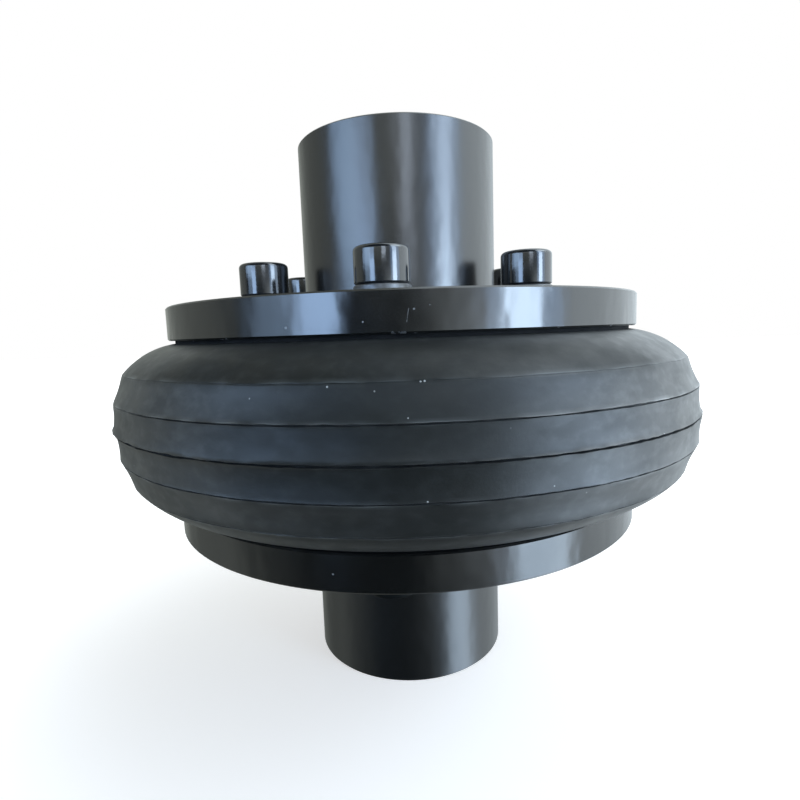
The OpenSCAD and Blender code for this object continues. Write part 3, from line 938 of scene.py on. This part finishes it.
screw_turn = np.linspace(0, 2 * np.pi, SCREW_STEPS + 1)
hexagon = SOCKET_HALF / np.cos((screw_turn + 1e-9) % (np.pi / 3) - np.pi / 6)
head_rings = [
    (0.0, SOCKET_FLOOR - SOCKET_CONE),
    (CONE_R_SHARE * hexagon, SOCKET_FLOOR),
    (hexagon, SOCKET_FLOOR),
    (hexagon, HEAD_H - MOUTH_DROP),
    (SOCKET_MOUTH_R, HEAD_H),
]
for a in np.linspace(np.pi / 2, 0, ROUND_STEPS + 1):
    head_rings.append((HEAD_R - HEAD_ROUND + HEAD_ROUND * np.cos(a), HEAD_H - HEAD_ROUND + HEAD_ROUND * np.sin(a)))
head_rings += [
    (HEAD_R, UNDER_EDGE),
    (HEAD_R - UNDER_EDGE, 0.0),
    (SHANK_R + NECK_STEP, 0.0),
    (SHANK_R, -NECK_DROP),
]
thread_z = np.linspace(-THREAD_TOP, SHANK_EDGE - SHANK_LEN, THREAD_ROWS)
phase = (thread_z[:, None] / THREAD_PITCH - screw_turn / (2 * np.pi)) % 1.0
inside = np.minimum((-THREAD_TOP - thread_z) / THREAD_PITCH, (thread_z + SHANK_LEN - SHANK_EDGE) / THREAD_PITCH)
cut = THREAD_DEPTH * (1 - 2 * np.abs(phase - 0.5)) * np.clip(inside, 0, 1)[:, None]
thread_rings = list(zip(SHANK_R - cut, thread_z))
tip_rings = [(SHANK_R - SHANK_EDGE, -SHANK_LEN), (0.0, -SHANK_LEN)]
screw = turned_rings(head_rings + thread_rings + tip_rings, screw_turn)


def round_the_circle(sheet, spins, base):
    """Copies of a sheet at the six screw places, each spun about its own axis, with its nought at a height."""
    sheets = []
    for place, spin in zip(SCREW_TURNS, spins):
        centre = np.array([SCREW_RING_R * np.cos(place), SCREW_RING_R * np.sin(place), base])
        sheets.append(sheet @ turned(place + spin).T + centre)
    return sheets


upper_spins = chance.uniform(0, np.pi / 3, SCREW_COUNT)
lower_spins = chance.uniform(0, np.pi / 3, SCREW_COUNT)
upper_sheets = round_the_circle(screw, upper_spins, HEAD_BASE)
lower_sheets = mirrored(round_the_circle(screw, lower_spins, HEAD_BASE))
build_piece("upper_socket_screws", upper_sheets, steels["screw_black"], "upper_screws")
# the lower screws take the darkened copy of the screw finish, as painted shade
build_piece("lower_socket_screws", lower_sheets, steels["screw_painted_shade"], "lower_screws")

# %% [markdown]
# ## The spring washers
# A spring washer is a bar of nearly square section, bent into one turn and cut off at a slant. It is made the same way
# here: the section is carried round a circle, and every point is turned further the higher it lies, which slants both
# ends. The ends are closed by shrinking the section to its middle.

# %% Washers
WASHER_IN, WASHER_OUT, WASHER_T, WASHER_EDGE = 6.1, 9.2, 3.6, 0.35  # mm
SLIT, SLIT_SLANT, SLIT_TURN = 1.2, np.radians(25), np.radians(115)
WASHER_STEPS = 60

a, b, e, h = WASHER_IN, WASHER_OUT, WASHER_EDGE, WASHER_T
section = np.array([
    (a + e, 0), (b - e, 0), (b, e), (b, h - e), (b - e, h), (a + e, h), (a, h - e), (a, e), (a + e, 0),
])
bar_middle = section[:-1].mean(axis=0)
mean_r = (a + b) / 2
ends = np.linspace(SLIT / 2 / mean_r, 2 * np.pi - SLIT / 2 / mean_r, WASHER_STEPS + 1)
ends = np.concatenate([ends[:1], ends, ends[-1:]])
shrink = np.concatenate([[0.0], np.ones(WASHER_STEPS + 1), [0.0]])[:, None, None]
bar = bar_middle + shrink * (section - bar_middle)
sweep = ends[:, None] - np.tan(SLIT_SLANT) * (bar[..., 1] - h / 2) / mean_r
washer = lathe(bar[..., 0], bar[..., 1], sweep)
slits = np.full(SCREW_COUNT, SLIT_TURN)
washer_sheets = round_the_circle(washer, slits, FLANGE_OUT)
build_piece("upper_split_washers", washer_sheets, steels["washer_black"], "upper_spring_washers")
build_piece("lower_split_washers", mirrored(washer_sheets), steels["washer_black"], "lower_spring_washers")

# %% [markdown]
# ## What stays as CAD
# The insert rings and their weld nuts sit inside the tyre, where the CAD shapes are already right: flat rings with
# holes, and chamfered hexagons. They could be made again as sheets, but nothing would look better for it, so they
# keep their meshes and only get their finish.

# %% Rings and nuts
for side in ("upper", "lower"):
    for kind, finish in (("insert_ring", steels["insert_steel"]), ("weld_nuts", steels["nut_steel"])):
        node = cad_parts[f"{side}_{kind}"]
        node.data.materials.clear()
        node.data.materials.append(finish)
        print(node.name, "keeps its mesh of", len(node.data.polygons), "faces")

# %% [markdown] ## Measuring the result The dressed coupling has to keep the size of the CAD model. A look in the
# viewport could tell, but printed numbers can be read again, so both boxes are printed.

# %% Measure and finish
low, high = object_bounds()
print("visual box in mm:", np.round((np.array(high) - np.array(low)) / MM, 2))
